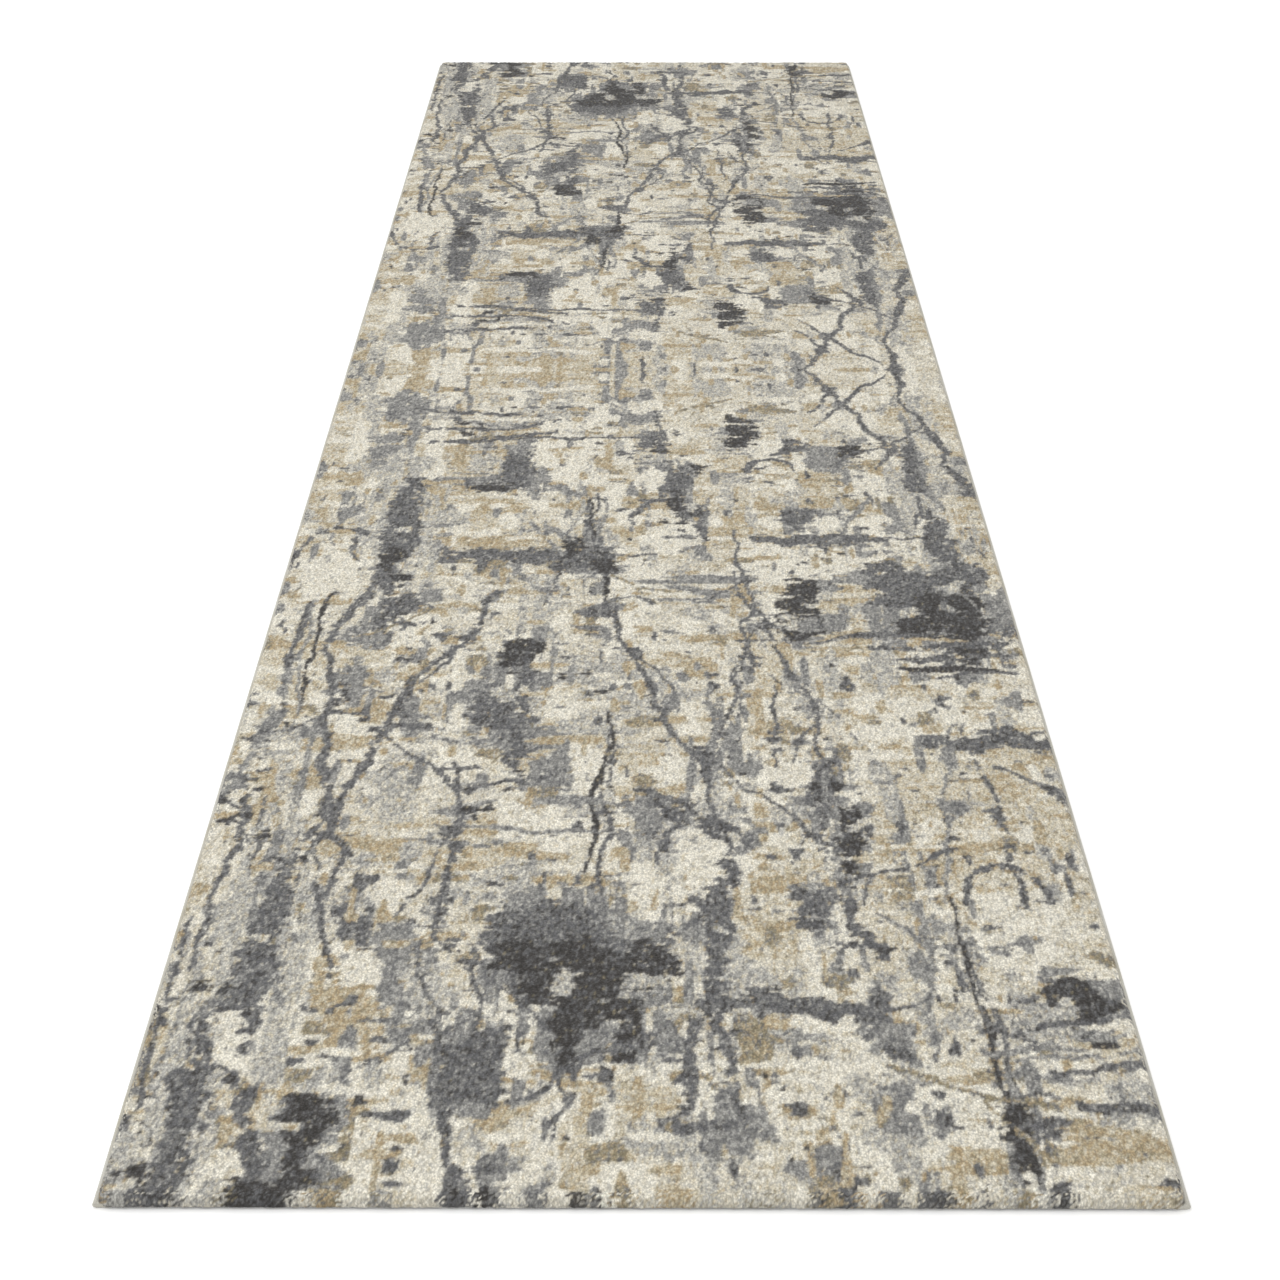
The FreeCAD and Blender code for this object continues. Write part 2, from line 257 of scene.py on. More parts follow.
class Design:
    """The ground of every tuft of one half of the rug, from mid-length to the end.

    Marks are drawn in warped coordinates, their rims are moved in and out by ragged, and worn says
    where each brush has gone dry. Grounds are named, densities run from 0 to 1, sizes are in mm."""

    def __init__(self, half_width, half_length, seed):
        """Lay out the grid of tufts and the noises that every mark shares."""
        self.rng = np.random.default_rng(seed)
        self.half_width, self.half_length = half_width, half_length
        columns = round(2 * half_width / TUFT_U)
        rows = round(half_length / TUFT_V)
        self.shape = (rows, columns)
        u = (np.arange(columns) + 0.5) * 2 * half_width / columns - half_width
        v = (np.arange(rows) + 0.5) * half_length / rows
        self.u, self.v = np.meshgrid(u, v)
        # Each noise below has its reach in mm or its gain first, then its grain along and across.
        self.warp_u = self.u + 13.0 * self.grain(50, 40, 4) + 1.5 * self.grain(3, 30)
        self.warp_v = self.v + 14.0 * self.grain(60, 44, 4)
        self.ragged = 7.0 * self.grain(4, 24, 2) + 3.5 * self.grain(20, 14, 2) + 1.6 * self.grain(2.5, 4)
        self.worn = {"dab": 0.5 + 0.8 * self.grain(14, 20, 3), "down": 0.5 + 0.9 * self.grain(64, 8, 2),
                     "across": 0.5 + 0.9 * self.grain(11, 60, 2)}
        self.ground = np.zeros(self.shape, dtype=int)
        self.taken = np.zeros((0, 2))

    def grain(self, along, across, octaves=1):
        """Noise with a grain in millimetres along and across the rug."""
        return noise(self.rng, self.shape, (along / TUFT_V, across / TUFT_U), octaves)

    def cover(self, name, coverage, where=(slice(None), slice(None))):
        """Bring a ground up on each tuft with a chance that rises steeply with coverage, from 0 to 1."""
        steepness, highest = 2.4, 0.985
        chance = np.clip(0.5 + (coverage - 0.5) * steepness, 0, highest)
        chosen = self.rng.random(coverage.shape) < chance
        self.ground[where][chosen] = GROUND_NUMBER[name]

    def window(self, points, margin):
        """The part of the grid within a margin of some points."""
        low, high = np.min(points, axis=0) - margin, np.max(points, axis=0) + margin
        rows = np.searchsorted(self.v[:, 0], [low[1], high[1]])
        columns = np.searchsorted(self.u[0], [low[0], high[0]])
        return slice(*rows), slice(*columns)

    def lay(self, name, density, distance, where, brush):
        """Lay a mark from its distance field: ragged at the rim, and worn through as its brush is."""
        rim_width, wear_steepness, thinnest, fullest = 1.6, 5, 0.04, 0.985
        rim = np.clip(0.5 - (distance + self.ragged[where]) / rim_width, 0, 1)
        wear = (density - self.worn[brush][where]) * wear_steepness
        whole = np.clip(0.5 + wear, thinnest, fullest)
        self.cover(name, rim * whole, where)

    def patch(self, name, density, outline, brush="dab"):
        """A filled outline."""
        reach_of_rags = 24
        where = self.window(outline, reach_of_rags)
        u, v = self.warp_u[where], self.warp_v[where]
        inside = np.zeros(u.shape, dtype=bool)
        distance = np.full(u.shape, np.inf)
        for (u0, v0), (u1, v1) in zip(outline, np.roll(outline, -1, axis=0)):
            crosses = (v0 > v) != (v1 > v)
            slope = (u1 - u0) / (v1 - v0) if v1 != v0 else 0.0
            inside ^= crosses & (u < u0 + slope * (v - v0))
            distance = np.minimum(distance, segment_distance(u, v, u0, v0, u1, v1)[0])
        self.lay(name, density, np.where(inside, -distance, distance), where, brush)

    def stroke(self, name, density, points):
        """A brush line through points, each with a width; the thinner it is, the cleaner its rim."""
        reach_of_rags = 18
        where = self.window(points[:, :2], points[:, 2].max() / 2 + reach_of_rags)
        u, v = self.warp_u[where], self.warp_v[where]
        distance = np.full(u.shape, np.inf)
        for (u0, v0, w0), (u1, v1, w1) in zip(points[:-1], points[1:]):
            away, along = segment_distance(u, v, u0, v0, u1, v1)
            distance = np.minimum(distance, away - (w0 + (w1 - w0) * along) / 2)
        calm = np.clip(1.15 - points[:, 2].mean() / 16, 0, 0.9)
        self.lay(name, density, distance - self.ragged[where] * calm, where, "dab")

    def slab(self, name, density, u, v, across, along, square=3.2, brush="dab"):
        """A rough block of a size; its sides are straighter as square rises from 2, an oval."""
        corners = 14
        turn = np.linspace(0, 2 * np.pi, corners, endpoint=False) + self.rng.uniform(-0.14, 0.14, corners)
        reach = (np.abs(np.cos(turn)) ** square + np.abs(np.sin(turn)) ** square) ** (-1 / square)
        reach *= self.rng.uniform(0.66, 1.20, corners) / 2
        outline = np.column_stack([u + reach * across * np.cos(turn), v + reach * along * np.sin(turn)])
        self.patch(name, density, outline, brush)

    def line(self, name, density, u, v, length, width, heading=0.0, sway=3.0):
        """A line that strays as it runs; heading is its turn from the rug's length, in radians."""
        step = 34
        count = max(3, round(length / step))
        run = np.linspace(0, length, count)
        stray = np.cumsum(self.rng.normal(0, sway, count))
        breath = self.rng.uniform(0.6, 1.3, count) * np.sin(np.linspace(0.35, 2.8, count)) ** 0.5
        points = np.column_stack([u + run * math.sin(heading) + stray * math.cos(heading),
                                  v + run * math.cos(heading) - stray * math.sin(heading),
                                  width * breath])
        self.stroke(name, density, points)
        return points

    # Each kind of mark below is laid around a place (u, v) that spread() gives it. A slab takes a
    # ground, its density, a place and its size across and along; a line its length and width.

    def field(self, u, v):
        """A broad pale or warm area that the darker marks stand on."""
        name = self.rng.choice(["ivory", "ivory", "sand", "sand", "cream"])
        across, along = self.rng.uniform(50, 150), self.rng.uniform(60, 210)
        self.slab(name, self.rng.uniform(0.6, 0.9), u, v, across, along, 2.6)

    def haze(self, u, v):
        """A wide thin cloud of one ground."""
        name = self.rng.choice(["mist", "olive", "ivory", "grey"], p=[0.4, 0.15, 0.25, 0.2])
        across, along = self.rng.uniform(160, 320), self.rng.uniform(130, 240)
        self.slab(name, self.rng.uniform(0.45, 0.62), u, v, across, along, 2.4)

    def veil(self, u, v):
        """A thin wash of one ground, drawn down the rug or across it with a dry brush."""
        name = self.rng.choice(["mist", "grey", "tan", "sand", "ivory", "olive"],
                               p=[0.22, 0.20, 0.28, 0.08, 0.14, 0.08])
        density, down = self.rng.uniform(0.42, 0.74), self.rng.random() < 0.55
        if down:
            across, along = self.rng.uniform(22, 84), self.rng.uniform(90, 300)
        else:
            across, along = self.rng.uniform(70, 240), self.rng.uniform(18, 64)
        self.slab(name, density, u, v, across, along, 3.6, "down" if down else "across")

    def mottle(self, u, v):
        """Broken patches all over, whatever the place, closer together in some parts than others."""
        gather = 0.18 * self.grain(170, 150, 2)
        steepness, fullest = 7, 0.88
        for name, along, across, level, more in MOTTLE:
            bits = self.grain(along, across, 2) + gather + more * (self.v / self.half_length - 0.5)
            self.cover(name, np.clip((bits - level) * steepness, 0, fullest))

    def thicket(self, u, v):
        """Thin wandering lines that start near one place and part."""
        for _ in range(self.rng.integers(2, 5)):
            start_u, start_v = u + self.rng.normal(0, 12), v + self.rng.uniform(-20, 60)
            length, width = self.rng.uniform(110, 330), self.rng.uniform(4, 6.5)
            name = self.rng.choice(["slate", "charcoal", "grey", "slate"])
            points = self.line(name, 0.86, start_u, start_v, length, width, self.rng.normal(0, 0.11))
            if self.rng.random() < 0.4:
                knot_u, knot_v, _ = points[len(points) // 2]
                self.slab(name, 0.9, knot_u, knot_v, 13, self.rng.uniform(26, 60), 2.3)

    def vein(self, u, v):
        """A long thin line that wanders down the rug, with thicker places where side lines leave it."""
        name = self.rng.choice(["grey", "slate", "slate"])
        length, width = self.rng.uniform(260, 560), self.rng.uniform(5.5, 9.5)
        points = self.line(name, 0.86, u, v - length / 2, length, width, self.rng.normal(0, 0.16), 8.0)
        for fork_u, fork_v, _ in points[3::5]:
            heading = self.rng.choice([-1, 1]) * self.rng.uniform(0.25, 0.9)
            side_length = length * self.rng.uniform(0.15, 0.4)
            self.line(name, 0.8, fork_u, fork_v, side_length, width * 0.7, heading, 5.0)
            self.slab(name, 0.9, fork_u, fork_v, width * 1.9, width * self.rng.uniform(2, 5), 2.3)

    def trunk(self, u, v):
        """A tall stroke that widens as it falls, darkens, and ends in two feet."""
        length, width = self.rng.uniform(150, 260), self.rng.uniform(20, 36)
        top = self.line("grey", 0.8, u, v, length, width * 0.5, self.rng.normal(0, 0.03), 2.0)
        foot_u, foot_v, _ = top[-1]
        self.slab("mist", 0.6, foot_u, foot_v + length * 0.4, width * 3.4, length * 1.6, 3.6, "down")
        body = self.line("slate", 0.9, foot_u, foot_v - 20, length * 1.1, width * 1.5, 0.0, 2.0)
        end_u, end_v, _ = body[-1]
        for side in (-1, 1):
            self.line("slate", 0.8, end_u + side * width * 0.2, end_v - 24, length * 0.6, width * 0.5,
                      side * self.rng.uniform(0.06, 0.24), 2.0)

    def blotch(self, u, v):
        """A large dark stain, greyer above, with lighter bits in it and a few runs below."""
        self.slab("grey", 0.6, u, v + 50, 190, 210, 2.6, "down")
        for _ in range(5):
            self.slab("slate", 0.95, u + self.rng.normal(0, 34), v + self.rng.uniform(-30, 24),
                      self.rng.uniform(50, 110), self.rng.uniform(24, 60))
        for _ in range(9):
            self.slab("charcoal", 0.93, u + self.rng.normal(0, 28), v + self.rng.uniform(14, 100),
                      self.rng.uniform(34, 84), self.rng.uniform(34, 76), 3.4)
        for _ in range(5):
            name = self.rng.choice(["cream", "mist", "tan", "grey"])
            self.slab(name, 0.7, u + self.rng.uniform(-70, 70), v + self.rng.uniform(-10, 120),
                      self.rng.uniform(12, 44), self.rng.uniform(10, 30))
        for _ in range(4):
            self.line("charcoal", 0.85, u + self.rng.uniform(-44, 44), v + self.rng.uniform(70, 104),
                      self.rng.uniform(34, 80), self.rng.uniform(8, 22), self.rng.normal(0, 0.08))

    def blocks(self, u, v):
        """A dark or grey block with one to three smaller ones against it, and a pale piece."""
        name = self.rng.choice(["charcoal", "slate", "slate", "grey"])
        across, along = self.rng.uniform(24, 56), self.rng.uniform(44, 120)
        self.slab("grey", 0.5, u, v, across * 1.7, along * 1.4, 3.0, self.rng.choice(["down", "across"]))
        self.slab(name, self.rng.uniform(0.62, 0.95), u, v, across, along, 4.0,
                  self.rng.choice(["dab", "across"]))
        for _ in range(self.rng.integers(1, 4)):
            other = self.rng.choice(["grey", "slate", "mist", "charcoal"], p=[0.34, 0.36, 0.18, 0.12])
            self.slab(other, self.rng.uniform(0.6, 0.9), u + self.rng.uniform(-0.9, 0.9) * across,
                      v + self.rng.uniform(-0.6, 0.6) * along, self.rng.uniform(16, 52),
                      self.rng.uniform(14, 50), 4.0, "across")
        self.slab("ivory", 0.8, u + self.rng.choice([-0.7, 0.7]) * across,
                  v + self.rng.uniform(-0.4, 0.4) * along, self.rng.uniform(14, 40),
                  self.rng.uniform(24, 70), 2.6)

    def bar(self, u, v):
        """A dark bar across the rug, uneven above and below, running out in a thin line."""
        length, tail_heading = self.rng.uniform(120, 200), 1.7
        points = self.line("slate", 0.92, u - length / 2, v, length, 30, math.pi / 2, 4.0)
        for tip_u, tip_v, _ in points[1:-1]:
            self.slab("slate", 0.9, tip_u, tip_v + self.rng.normal(0, 9), self.rng.uniform(18, 44),
                      self.rng.uniform(12, 30))
        end_u, end_v, _ = points[-1]
        self.line("slate", 0.85, end_u - 8, end_v, length * 0.5, 6, tail_heading)

    def arch(self, u, v):
        """A thin line that rises over a pale middle and comes down again."""
        across, along = self.rng.uniform(50, 110), self.rng.uniform(50, 130)
        self.slab("ivory", 0.66, u, v + along * 0.3, across * 0.8, along, 2.6)
        count = 9
        first, last = math.pi * self.rng.uniform(0.85, 1.05), math.pi * self.rng.uniform(1.7, 2.1)
        sweep = np.linspace(first, last, count)
        widths = self.rng.uniform(4, 11, count)
        points = np.column_stack([u + across / 2 * np.cos(sweep), v + along / 2 * np.sin(sweep), widths])
        self.stroke(self.rng.choice(["slate", "grey", "slate"]), 0.85, points)

    def terrace(self, u, v):
        """Level strokes one under another, dark, warm or pale."""
        for step in range(self.rng.integers(4, 8)):
            name = self.rng.choice(["slate", "tan", "grey", "ivory", "charcoal"],
                                   p=[0.34, 0.20, 0.20, 0.16, 0.10])
            length = self.rng.uniform(60, 190)
            self.line(name, 0.78, u - length / 2 + self.rng.normal(0, 34), v + step * 18 - 50, length,
                      self.rng.uniform(6, 15), math.pi / 2 + self.rng.normal(0, 0.12), 2.6)

    def drips(self, u, v):
        """A thin run of colour that falls to a small heavy drop, with flecks below."""
        length = self.rng.uniform(130, 280)
        name = self.rng.choice(["grey", "slate", "mist", "olive"])
        points = self.line(name, 0.7, u, v, length, self.rng.uniform(7, 18), self.rng.normal(0, 0.06), 2.0)
        drop_u, drop_v, _ = points[-1]
        drop = self.rng.choice(["charcoal", "slate", name])
        self.slab(drop, 0.9, drop_u, drop_v, self.rng.uniform(16, 30), self.rng.uniform(30, 66), 2.2)
        self.specks(drop_u, drop_v + 50)

    def twig(self, u, v):
        """A thin slanting line with one offshoot."""
        heading = self.rng.choice([-1, 1]) * self.rng.uniform(0.35, 1.3)
        length, width = self.rng.uniform(70, 190), self.rng.uniform(4, 9)
        name = self.rng.choice(["grey", "slate", "olive", "grey"])
        points = self.line(name, 0.74, u, v, length, width, heading, 2.5)
        fork_u, fork_v, _ = points[len(points) // 2]
        self.line(name, 0.7, fork_u, fork_v, length * 0.5, width * 0.7, heading * 0.4, 2.0)

    def specks(self, u, v):
        """A handful of small dark dabs."""
        for _ in range(self.rng.integers(3, 7)):
            size = self.rng.uniform(5, 12)
            self.slab("charcoal", 0.9, u + self.rng.normal(0, 16), v + self.rng.normal(0, 16), size, size, 2)

    def spread(self, count, start, end):
        """Places in a stretch of the rug, each the clearest of a few tries of those taken lately."""
        places, off_the_rug = [], (0.0, -400.0)
        trials, lately, reach = 16, 24, 0.94
        for _ in range(count):
            tries = np.column_stack([
                self.rng.uniform(-reach, reach, trials) * self.half_width,
                self.rng.uniform(start, end, trials) * self.half_length])
            near = np.array([*self.taken[-lately:], *places, off_the_rug])
            gaps = np.hypot(*(tries[:, None] - near[None]).transpose(2, 0, 1)).min(axis=1)
            places.append(tries[np.argmax(gaps)])
        self.taken = np.array([*self.taken, *places])
        return places

    def wash(self):
        """The pale ground under the marks: cream and sand, with weft-wise drags of warmer yarns."""
        self.ground[:] = GROUND_NUMBER["cream"]
        warm = self.grain(120, 170, 3)
        drag = self.grain(7, 60, 2)
        fleck = self.grain(14, 20, 2)
        self.cover("sand", np.clip(0.42 + 1.5 * warm + 0.9 * drag, 0, 0.95))
        self.cover("tan", np.clip(-0.62 + 1.1 * warm + 2.0 * drag + 0.5 * fleck, 0, 0.8))
        self.cover("ivory", np.clip(-0.6 - 0.8 * warm - 1.6 * drag + 1.4 * self.grain(30, 40, 2), 0, 0.8))
        cool = self.grain(70, 50, 3)
        self.cover("mist", np.clip(-0.36 + 1.9 * cool + 0.6 * fleck, 0, 0.8))
        self.cover("grey", np.clip(-1.3 + 2.4 * cool + 1.6 * fleck, 0, 0.6))
        self.cover("olive", np.clip(-1.7 + 2.2 * fleck + 1.8 * self.grain(9, 30, 2), 0, 0.5))

    def paint(self):
        """The ground of every tuft: the wash, then each kind of mark in the order of the plan."""
        self.wash()
        for kind, count, start, end in PLAN:
            for u, v in self.spread(count, start, end):
                getattr(self, kind)(u, v)
        return self.ground


def segment_distance(u, v, u0, v0, u1, v1):
    """Distance to a segment, and how far along it the nearest point is, from 0 to 1."""
    run_u, run_v = u1 - u0, v1 - v0
    length = max(run_u * run_u + run_v * run_v, 1e-6)
    along = np.clip(((u - u0) * run_u + (v - v0) * run_v) / length, 0, 1)
    return np.hypot(u - u0 - along * run_u, v - v0 - along * run_v), along


def bring_up_yarns(ground, seed):
    """Colour every tuft from its ground's yarns, with short runs, fibres shared with neighbours."""
    run_share, tone_spread = 0.38, 0.04
    own_share, end_share, side_share = 0.64, 0.12, 0.06
    rng = np.random.default_rng(seed)
    draw = rng.random(ground.shape)
    run = rng.random(ground.shape) < run_share
    draw[1:][run[1:]] = draw[:-1][run[1:]]
    colours = np.array(list(YARNS.values()), dtype=float)
    order = {name: number for number, name in enumerate(YARNS)}
    chosen = np.zeros(ground.shape, dtype=int)
    for name, shares in GROUNDS.items():
        here = ground == GROUND_NUMBER[name]
        picks = np.array([order[yarn] for yarn in shares])
        steps = np.cumsum(list(shares.values()))
        slot = np.searchsorted(steps / steps[-1], draw[here], side="right")
        chosen[here] = picks[np.minimum(slot, len(picks) - 1)]
    tone = 1 + tone_spread * rng.standard_normal(ground.shape)
    tufts = colours[chosen] * tone[..., None]
    shared = np.pad(tufts, ((1, 1), (1, 1), (0, 0)), mode="edge")
    ends = shared[:-2, 1:-1] + shared[2:, 1:-1]
    sides = shared[1:-1, :-2] + shared[1:-1, 2:]
    return np.clip(own_share * tufts + end_share * ends + side_share * sides, 0, 255)


# ---------------------------------------------------------------- materials

def new_material(name, roughness, sheen=0.0):
    """A Principled material and its node tree, with the even values on the shader's own sockets."""
    material = bpy.data.materials.new(name)
    material.use_nodes = True
    shader = material.node_tree.nodes["Principled BSDF"]
    shader.inputs["Roughness"].default_value = roughness
    shader.inputs["Specular IOR Level"].default_value = 0.2
    shader.inputs["Sheen Weight"].default_value = sheen
    shader.inputs["Sheen Roughness"].default_value = 0.6
    return material, material.node_tree, shader


def texture(tree, kind, grain, **settings):
    """A texture whose grain is given in metres along X, Y and Z, in the object's own coordinates."""
    coordinates = tree.nodes.new("ShaderNodeTexCoord")
    scale = tree.nodes.new("ShaderNodeMapping")
    scale.inputs["Scale"].default_value = [1 / size for size in grain]
    tree.links.new(coordinates.outputs["Object"], scale.inputs["Vector"])
    node = tree.nodes.new(kind)
    node.inputs["Scale"].default_value = 1.0
    for socket, value in settings.items():
        node.inputs[socket].default_value = value
    tree.links.new(scale.outputs["Vector"], node.inputs["Vector"])
    return node


def spread_tone(tree, source, low, high, dark, light):
    """Map a texture's values from low..high to a multiplier from dark to light."""
    tone = tree.nodes.new("ShaderNodeMapRange")
    for socket, value in {"From Min": low, "From Max": high, "To Min": dark, "To Max": light}.items():
        tone.inputs[socket].default_value = value
    tree.links.new(source, tone.inputs["Value"])
    return tone.outputs["Result"]


def multiply(tree, first, second):
    """The product of two numbers from nodes."""
    node = tree.nodes.new("ShaderNodeMath")
    node.operation = "MULTIPLY"
    tree.links.new(first, node.inputs[0])
    tree.links.new(second, node.inputs[1])
    return node.outputs["Value"]


def tint(tree, colour, tone):
    """A colour darkened or lightened by a number from nodes; the colour may be a socket or fixed."""
    node = tree.nodes.new("ShaderNodeVectorMath")
    node.operation = "SCALE"
    if isinstance(colour, tuple):
        node.inputs[0].default_value = colour[:3]
    else:
        tree.links.new(colour, node.inputs[0])
    tree.links.new(tone, node.inputs["Scale"])
    return node.outputs["Vector"]


def bump(tree, shader, height, distance, strength=1.0):
    """Relief from a number from nodes, its full height given in metres."""
    node = tree.nodes.new("ShaderNodeBump")
    node.inputs["Strength"].default_value = strength
    node.inputs["Distance"].default_value = distance
    tree.links.new(height, node.inputs["Height"])
    tree.links.new(node.outputs["Normal"], shader.inputs["Normal"])


def linear(colour):
    """An sRGB colour from 0 to 255 as the linear colour that nodes take."""
    share = np.asarray(colour, dtype=float) / 255
    return np.where(share <= 0.04045, share / 12.92, ((share + 0.055) / 1.055) ** 2.4)


def fixed(colour):
    """A fixed sRGB colour as a tuple for a node."""
    return (*(float(value) for value in linear(colour)), 1.0)


def pile_material():
    """Cut tufts: the colour of each tuft, with painted shade in the gaps between tufts and their middles
    painted a little lighter, broken up by its fibres.
    """
    material, tree, shader = new_material("pile_yarn", 0.95, sheen=0.10)
    colour = tree.nodes.new("ShaderNodeAttribute")
    colour.attribute_name = "tuft_colour"
    tufts = texture(tree, "ShaderNodeTexVoronoi", (0.0020, 0.0024, 0.0040), Randomness=1.0)
    fibres = texture(tree, "ShaderNodeTexNoise", (0.0008, 0.0014, 0.0020), Detail=2.0, Distortion=0.8)
    # Painted shade: darker towards the gaps between tufts, and lighter at their middles.
    gaps = spread_tone(tree, tufts.outputs["Distance"], 0.10, 0.75, 1.16, 0.62)
    strands = spread_tone(tree, fibres.outputs["Fac"], 0.30, 0.70, 0.76, 1.22)
    tone = multiply(tree, gaps, strands)
    tree.links.new(tint(tree, colour.outputs["Color"], tone), shader.inputs["Base Color"])
    bump(tree, shader, tone, 0.0011)
    return material


def yarn_material(name, colour, grain, warm, relief=0.0003):
    """Plied yarn: a colour that drifts along its length, with fine twisted fibres."""
    material, tree, shader = new_material(name, 0.85, sheen=0.12)
    drift = texture(tree, "ShaderNodeTexNoise", (0.05, 0.06, 0.05), Detail=2.0)
    fibres = texture(tree, "ShaderNodeTexNoise", grain, Detail=3.0, Distortion=0.6)
    mix = tree.nodes.new("ShaderNodeMix")
    mix.data_type = "RGBA"
    mix.inputs["A"].default_value = fixed(colour)
    mix.inputs["B"].default_value = fixed(warm)
    tree.links.new(spread_tone(tree, drift.outputs["Fac"], 0.35, 0.65, 0.0, 1.0), mix.inputs["Factor"])
    strands = spread_tone(tree, fibres.outputs["Fac"], 0.3, 0.7, 0.78, 1.14)
    tree.links.new(tint(tree, mix.outputs["Result"], strands), shader.inputs["Base Color"])
    bump(tree, shader, strands, relief)
    return material


def rib_texture(tree, pitch, across, waver):
    """Even ribs with a pitch in metres, along X if across and along Y if not.

    The wave texture turns through 20 radians in one unit at a scale of 1."""
    turn_in_a_unit = 20
    ribs = texture(tree, "ShaderNodeTexWave", (pitch * turn_in_a_unit,) * 3, Distortion=waver)
    ribs.bands_direction = "Y" if across else "X"
    ribs.inputs["Scale"].default_value = 2 * math.pi
    return ribs


def weave_material(name, colour, pitch, across):
    """A woven face: ribs of one yarn with painted shade in the grooves between them, and fine fibre noise;
    across turns the ribs to run along X.
    """
    material, tree, shader = new_material(name, 0.9)
    ribs = rib_texture(tree, pitch, across, 1.2)
    fibres = texture(tree, "ShaderNodeTexNoise", (0.0006, 0.0012, 0.0008), Detail=3.0)
    # Painted shade: darker bands in the grooves between the ribs of one yarn.
    ridges = spread_tone(tree, ribs.outputs["Fac"], 0.0, 1.0, 0.72, 1.04)
    strands = spread_tone(tree, fibres.outputs["Fac"], 0.3, 0.7, 0.82, 1.12)
    tone = multiply(tree, ridges, strands)
    tree.links.new(tint(tree, fixed(colour), tone), shader.inputs["Base Color"])
    bump(tree, shader, tone, 0.0004)
    return material


def latex_material():
    """A matt coat through which the backing's coarse yarn shows, with small pits."""
    material, tree, shader = new_material("latex", 0.78)
    pits = texture(tree, "ShaderNodeTexNoise", (0.0018, 0.0012, 0.0015), Detail=4.0)
    patches = texture(tree, "ShaderNodeTexNoise", (0.07, 0.05, 0.05), Detail=3.0)
    ribs = rib_texture(tree, RIB_PITCH * MM, across=True, waver=0.6)
    grainy = spread_tone(tree, pits.outputs["Fac"], 0.3, 0.7, 0.78, 1.10)
    uneven = spread_tone(tree, patches.outputs["Fac"], 0.3, 0.7, 0.90, 1.06)
    ridges = spread_tone(tree, ribs.outputs["Fac"], 0.0, 1.0, 1.05, 0.80)
    tone = multiply(tree, multiply(tree, grainy, uneven), ridges)
    tree.links.new(tint(tree, fixed((196, 180, 150)), tone), shader.inputs["Base Color"])
    bump(tree, shader, grainy, 0.0003)
    return material


# ---------------------------------------------------------------- the pile

# The rim, ring by ring from the top down, in mm: how far the edge tufts lean out of the flat of the
# pile on the long sides and at the ends, and how far they are below it. At the ends they hang over
# the overlock.
RIM = [(0.9, 1.3, 0.1), (2.0, 2.7, 0.5), (3.1, 4.0, 1.4), (3.9, 5.0, 3.0), (4.2, 5.7, 5.2),
       (3.8, 6.0, 7.6), (3.2, 5.9, 9.9)]
RIM_FOOT = 3.0


def make_pile(material):
    """The field of cut tufts: one point to a tuft, with a rim of tufts that lean out all round."""
    size = PILE_HIGH - PILE_LOW
    half = size[:2] / 2 / MM
    design = Design(half[0], half[1], seed=14)
    near = bring_up_yarns(design.paint(), seed=21)
    far = bring_up_yarns(design.ground, seed=22)
    colours = np.vstack([near[::-1], far])
    rows, columns = colours.shape[:2]
    rng = np.random.default_rng(31)
    top = tuft_tops(rng, rows, columns, half - RIM_FOOT)
    walk = border_walk(rows, columns)
    rings, ring_colours = lean_out(rng, top, colours.reshape(-1, 3), walk, rows, columns, size[2] / MM)
    ring_numbers = [len(top) + number * len(walk) + np.arange(len(walk)) for number in range(len(RIM))]
    bands = [band(inner, outer) for inner, outer in zip([walk, *ring_numbers], ring_numbers)]
    points = np.vstack([top, *rings]) * MM + [0, 0, PILE_HIGH[2]]
    piece = mesh_piece("pile_tufts", points, np.vstack([grid_faces(rows, columns), *bands]))
    tints = linear(np.vstack([colours.reshape(-1, 3), *ring_colours]))
    layer = piece.data.attributes.new("tuft_colour", "FLOAT_COLOR", "POINT")
    layer.data.foreach_set("color", np.column_stack([tints, np.ones(len(tints))]).ravel())
    piece.data.materials.append(material)
    smooth(piece)
    place(piece, "pile_yarn", "pile")


def tuft_tops(rng, rows, columns, half):
    """The tips of the tufts in mm, each a little off its place and off the level, row by row."""
    depth, tip, broad, fine = 0.3, 0.40, 0.30, 0.25
    stray_x, stray_y = 0.5, 0.6
    x, y = np.meshgrid(np.linspace(-half[0], half[0], columns), np.linspace(-half[1], half[1], rows))
    z = tip * rng.standard_normal(x.shape).clip(-2, 2) - depth
    z += broad * noise(rng, x.shape, (26, 20), 2) + fine * noise(rng, x.shape, (9, 5))
    inner = (slice(1, -1), slice(1, -1))
    x[inner] += rng.uniform(-stray_x, stray_x, x.shape)[inner]
    y[inner] += rng.uniform(-stray_y, stray_y, y.shape)[inner]
    return np.stack([x, y, z], axis=-1).reshape(-1, 3)


def lean_out(rng, top, colours, walk, rows, columns, deepest_side):
    """The rings of the rim and their colours, taken from tufts close by, with painted shade that makes them
    darker further down.
    """
    rough, reach, painted_shade_per_mm = 0.25, 3, 0.012
    outward = outward_from(walk, rows, columns)
    rings, tints = [], []
    for side, end, drop in RIM:
        low_side = np.where(outward[:, 1] != 0, drop, min(drop, deepest_side))
        ring = top[walk] * [1, 1, 1 - drop / RIM[-1][2]]
        ring[:, :2] += outward * [side, end]
        ring[:, 2] -= low_side
        rings.append(ring + rough * rng.standard_normal(ring.shape).clip(-2, 2))
        steps = rng.integers(-reach, reach + 1, len(walk))
        neighbours = walk[(np.arange(len(walk)) + steps) % len(walk)]
        # Painted shade: each ring is darkened by how far it drops below the top of the pile.
        tints.append(colours[neighbours] * (1 - painted_shade_per_mm * drop))
    return rings, tints


